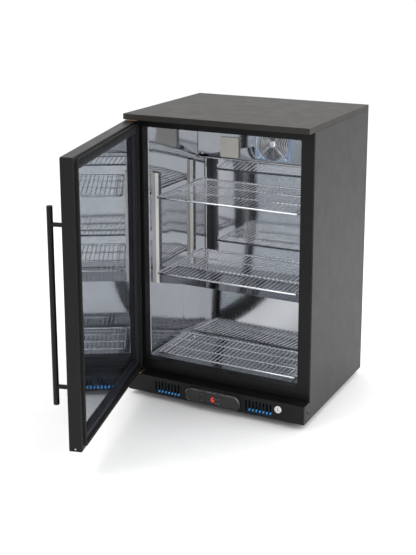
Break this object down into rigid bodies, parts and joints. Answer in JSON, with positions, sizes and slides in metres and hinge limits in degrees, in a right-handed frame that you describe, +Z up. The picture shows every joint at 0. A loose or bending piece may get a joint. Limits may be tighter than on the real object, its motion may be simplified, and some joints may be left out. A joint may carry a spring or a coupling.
{
  "type": "undercounter refrigerator",
  "caption": "Black undercounter bottle cooler with a hinged glass door, wire shelves, mirror liner, lock and plinth controls; the door stands open.",
  "frame": {"origin": "on the floor, below the middle of the bounding box with the door at its stored opening", "axes": "+Z up, +Y to the back of the cabinet, +X to the right of someone facing the door"},
  "size_m": [0.6048, 1.0413, 0.9],
  "materials": {
    "black_paint": "matt black powder coat",
    "galvanised_steel": "plain zinc-coated sheet",
    "polished_liner": "mirror-polished sheet",
    "chrome": "bright plated",
    "black_plastic": "fine satin",
    "gasket_rubber": "soft matt",
    "white_upright": "off-white paint",
    "blue_base": "blue protective film on sheet",
    "foam": null,
    "door_glass": "reflective coated glass",
    "cream_plastic": "smooth",
    "brass": "plain turned",
    "display_lens": "smoked",
    "fan_plate": "bright plated, blue in the lamp's light",
    "fin_aluminium": "thin fins",
    "led_diffuser": "opal",
    "compressor_black": "gloss black paint",
    "condenser_fins": "painted fins",
    "tray_plastic": "moulded"
  },
  "bodies": {
    "cabinet": {"worktop": "black_paint", "side_panel_left": "black_paint", "side_panel_right": "black_paint", "front_frame": "black_paint", "kick_plate": "black_paint", "back_panel": "galvanised_steel", "rear_grille": "galvanised_steel", "hinge_bracket_bottom": "galvanised_steel", "hinge_bracket_top": "galvanised_steel", "condenser_fan_shroud": "galvanised_steel", "condenser_fan_motor": "galvanised_steel", "liner": "polished_liner", "evaporator_cover": "polished_liner", "lock_barrel": "chrome", "fan_guard": "chrome", "power_inlet": "black_plastic", "foot_front_left": "black_plastic", "foot_front_right": "black_plastic", "foot_rear_left": "black_plastic", "foot_rear_right": "black_plastic", "controller_bezel": "black_plastic", "controller_module": "black_plastic", "evaporator_fan_motor": "black_plastic", "led_housing": "black_plastic", "compressor_mount": "gasket_rubber", "shelf_upright_front_left": "white_upright", "shelf_upright_front_right": "white_upright", "shelf_upright_rear_left": "white_upright", "shelf_upright_rear_right": "white_upright", "base_tray": "blue_base", "foam_insulation": "foam", "sensor_cover": "cream_plastic", "hinge_bush": "brass", "display_lens": "display_lens", "evaporator_fan_plate": "fan_plate", "evaporator_coil": "fin_aluminium", "led_diffuser": "led_diffuser", "compressor": "compressor_black", "condenser_coil": "condenser_fins", "evaporation_tray": "tray_plastic"},
    "door": {"door_frame": "black_paint", "door_glass_outer": "door_glass", "door_glass_inner": "door_glass", "glass_spacer": "gasket_rubber", "glazing_bead": "black_plastic", "door_gasket": "gasket_rubber", "handle_bar": "black_paint", "handle_post_lower": "black_paint", "handle_post_upper": "black_paint"},
    "shelf_upper": {"shelf_upper": "chrome"},
    "shelf_lower": {"shelf_lower": "chrome"},
    "bottom_rack": {"bottom_rack": "chrome"},
    "lock": {"lock_plug": "chrome", "lock_cam": "galvanised_steel"},
    "button_up": {"button_up": "black_plastic"},
    "button_light": {"button_light": "black_plastic"},
    "button_down": {"button_down": "black_plastic"},
    "button_set": {"button_set": "black_plastic"},
    "evaporator_fan": {"evaporator_fan_blades": "black_plastic"},
    "condenser_fan": {"condenser_fan_blades": "black_plastic"}
  },
  "joints": [
    {"name": "door_swing", "type": "hinge", "parent": "cabinet", "child": "door", "pos_m": [-0.2805, 0.0445, 0.079], "axis": [0, 0, 1], "range_deg": [-35, 75]},
    {"name": "shelf_upper_slide", "type": "slide", "parent": "cabinet", "child": "shelf_upper", "axis": [0, 1, 0], "range_m": [-0.11, 0]},
    {"name": "shelf_lower_slide", "type": "slide", "parent": "cabinet", "child": "shelf_lower", "axis": [0, 1, 0], "range_m": [-0.11, 0]},
    {"name": "bottom_rack_slide", "type": "slide", "parent": "cabinet", "child": "bottom_rack", "axis": [0, 1, 0], "range_m": [-0.11, 0]},
    {"name": "lock_turn", "type": "hinge", "parent": "cabinet", "child": "lock", "pos_m": [0.2195, 0.04, 0.052], "axis": [0, -1, 0], "range_deg": [0, 90]},
    {"name": "button_up_press", "type": "slide", "parent": "cabinet", "child": "button_up", "axis": [0, 1, 0], "range_m": [0, 0.0008], "stiffness_N_per_m": 300},
    {"name": "button_light_press", "type": "slide", "parent": "cabinet", "child": "button_light", "axis": [0, 1, 0], "range_m": [0, 0.0008], "stiffness_N_per_m": 300},
    {"name": "button_down_press", "type": "slide", "parent": "cabinet", "child": "button_down", "axis": [0, 1, 0], "range_m": [0, 0.0008], "stiffness_N_per_m": 300},
    {"name": "button_set_press", "type": "slide", "parent": "cabinet", "child": "button_set", "axis": [0, 1, 0], "range_m": [0, 0.0008], "stiffness_N_per_m": 300},
    {"name": "evaporator_fan_spin", "type": "hinge", "parent": "cabinet", "child": "evaporator_fan", "pos_m": [0.0185, 0.4357, 0.767], "axis": [0, 1, 0], "continuous": true},
    {"name": "condenser_fan_spin", "type": "hinge", "parent": "cabinet", "child": "condenser_fan", "pos_m": [0.1425, 0.4165, 0.136], "axis": [0, 1, 0], "continuous": true}
  ]
}
